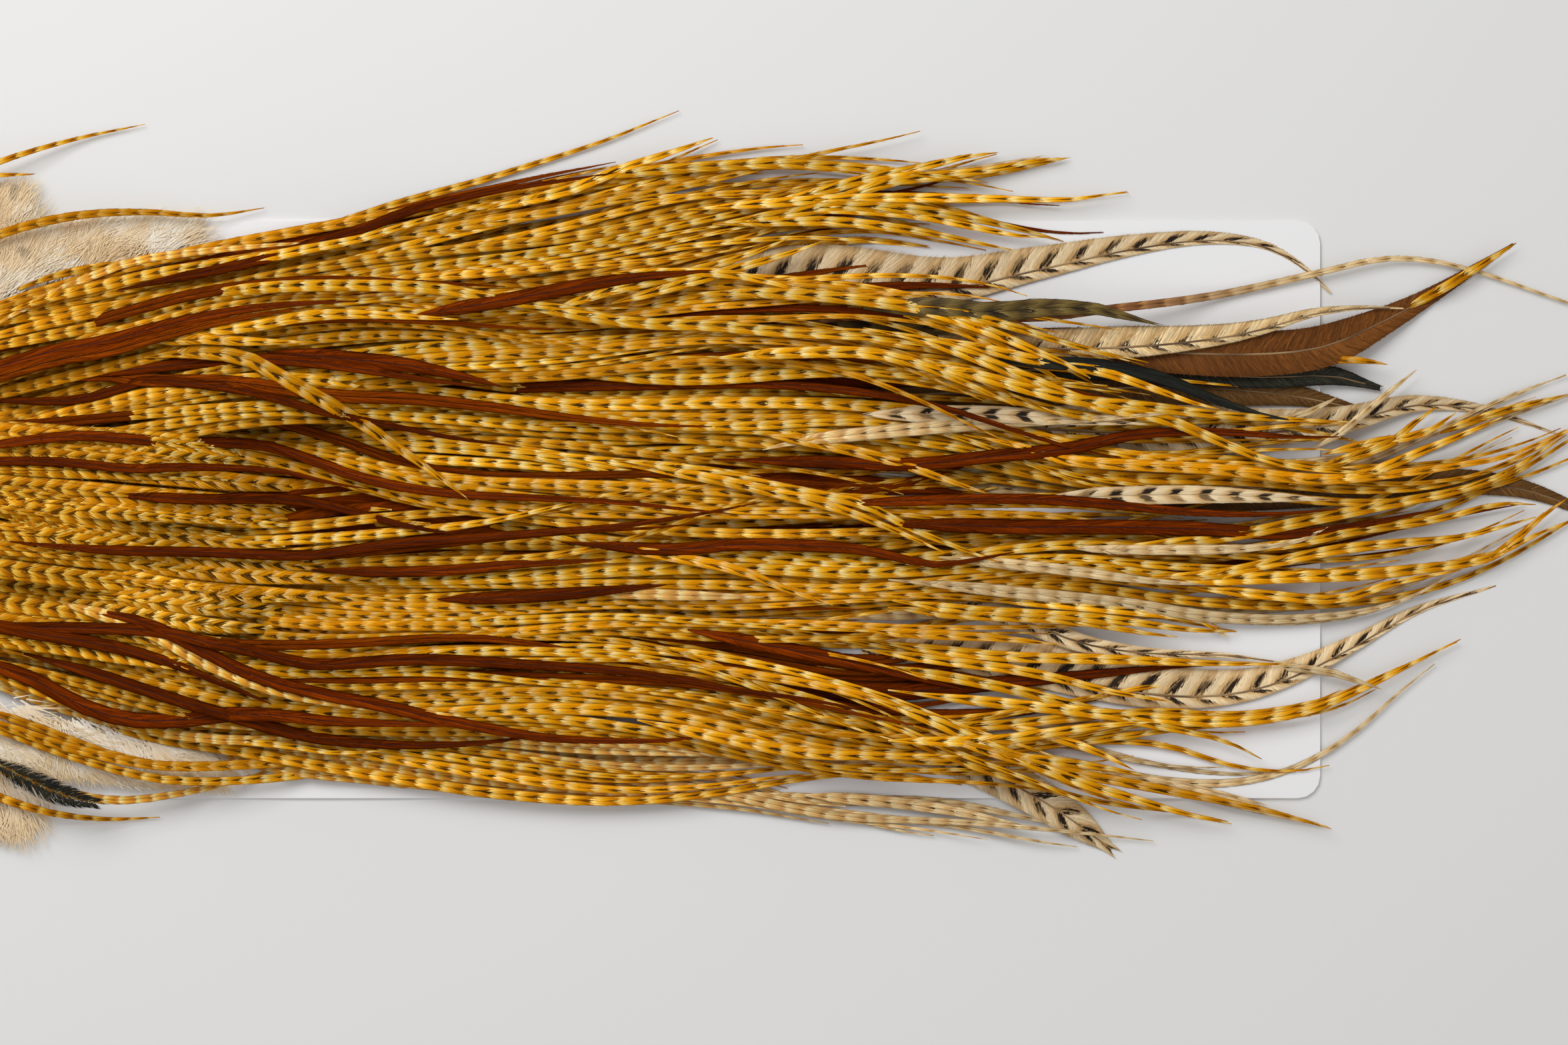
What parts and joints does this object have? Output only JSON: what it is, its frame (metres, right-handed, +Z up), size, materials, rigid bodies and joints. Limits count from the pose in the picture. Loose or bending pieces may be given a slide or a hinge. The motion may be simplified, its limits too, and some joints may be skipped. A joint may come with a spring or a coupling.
{
  "type": "rooster saddle hackle",
  "caption": "Dyed rooster saddle patch: long slim barred feathers in a low pile, rooted in a strip of dried skin on a flat white backing card.",
  "frame": {"origin": "centre of the backing card's underside", "axes": "+X along the feathers from the skin to their tips, +Y across the saddle, +Z up from the card"},
  "size_m": [0.4081, 0.1464, 0.0177],
  "materials": {
    "backing_card": "smooth white board",
    "dried_skin": "dry, tanned",
    "downy_feathers": "fluffy, matt",
    "gold_barred_hackle": "glossy barbs, golden with black-brown and cream bars",
    "red_brown_hackle": "glossy barbs, dark stem line",
    "dark_brown_feather": "satin vane",
    "tan_brown_feather": "satin vane",
    "cream_hackle": "cream with fine tan bars",
    "grizzly_feather": "cream and tan bars with black blotches",
    "black_feather": "glossy black with an olive sheen"
  },
  "bodies": {
    "root": {"backing_card": "backing_card", "barred_feather_lower": "grizzly_feather", "barred_feather_right": "grizzly_feather", "black_feather_tip": "black_feather", "brown_feather_right": "tan_brown_feather", "brown_feather_under": "tan_brown_feather", "brown_feather_upper": "dark_brown_feather", "cream_feather_upper": "cream_hackle", "down_plume_head": "downy_feathers", "down_plume_lower_left": "downy_feathers", "down_plume_lower_right": "downy_feathers", "down_plume_upper_left": "downy_feathers", "down_plume_upper_right": "downy_feathers", "grizzly_feather_lower": "grizzly_feather", "grizzly_feather_right": "grizzly_feather", "grizzly_feather_upper": "grizzly_feather", "lock_black_based": "cream_hackle", "lock_brown_centre": "red_brown_hackle", "lock_brown_cross": "red_brown_hackle", "lock_brown_lower": "red_brown_hackle", "lock_brown_upper": "red_brown_hackle", "lock_centre_a": "gold_barred_hackle", "lock_centre_b": "gold_barred_hackle", "lock_centre_c": "gold_barred_hackle", "lock_centre_e": "gold_barred_hackle", "lock_centre_f": "gold_barred_hackle", "lock_gold_edge": "gold_barred_hackle", "lock_lower_a": "gold_barred_hackle", "lock_lower_b": "gold_barred_hackle", "lock_lower_c": "gold_barred_hackle", "lock_lower_d": "gold_barred_hackle", "lock_lower_e": "gold_barred_hackle", "lock_lower_g": "gold_barred_hackle", "lock_lower_h": "gold_barred_hackle", "lock_lower_i": "cream_hackle", "lock_lower_left_curl": "gold_barred_hackle", "lock_lower_long": "gold_barred_hackle", "lock_mid_a": "gold_barred_hackle", "lock_mid_b": "gold_barred_hackle", "lock_mid_c": "gold_barred_hackle", "lock_mid_d": "gold_barred_hackle", "lock_pale_edge": "cream_hackle", "lock_pale_lower": "cream_hackle", "lock_pale_right": "cream_hackle", "lock_right_sweep": "cream_hackle", "lock_right_thin": "red_brown_hackle", "lock_top_lower": "gold_barred_hackle", "lock_top_middle": "gold_barred_hackle", "lock_top_upper": "gold_barred_hackle", "lock_upper_a": "gold_barred_hackle", "lock_upper_b": "gold_barred_hackle", "lock_upper_c": "gold_barred_hackle", "lock_upper_d": "gold_barred_hackle", "lock_upper_e": "gold_barred_hackle", "lock_upper_edge": "red_brown_hackle", "lock_upper_f": "gold_barred_hackle", "lock_upper_left_curl": "gold_barred_hackle", "lock_upper_left_long": "gold_barred_hackle", "saddle_skin": "dried_skin"}
  },
  "joints": []
}
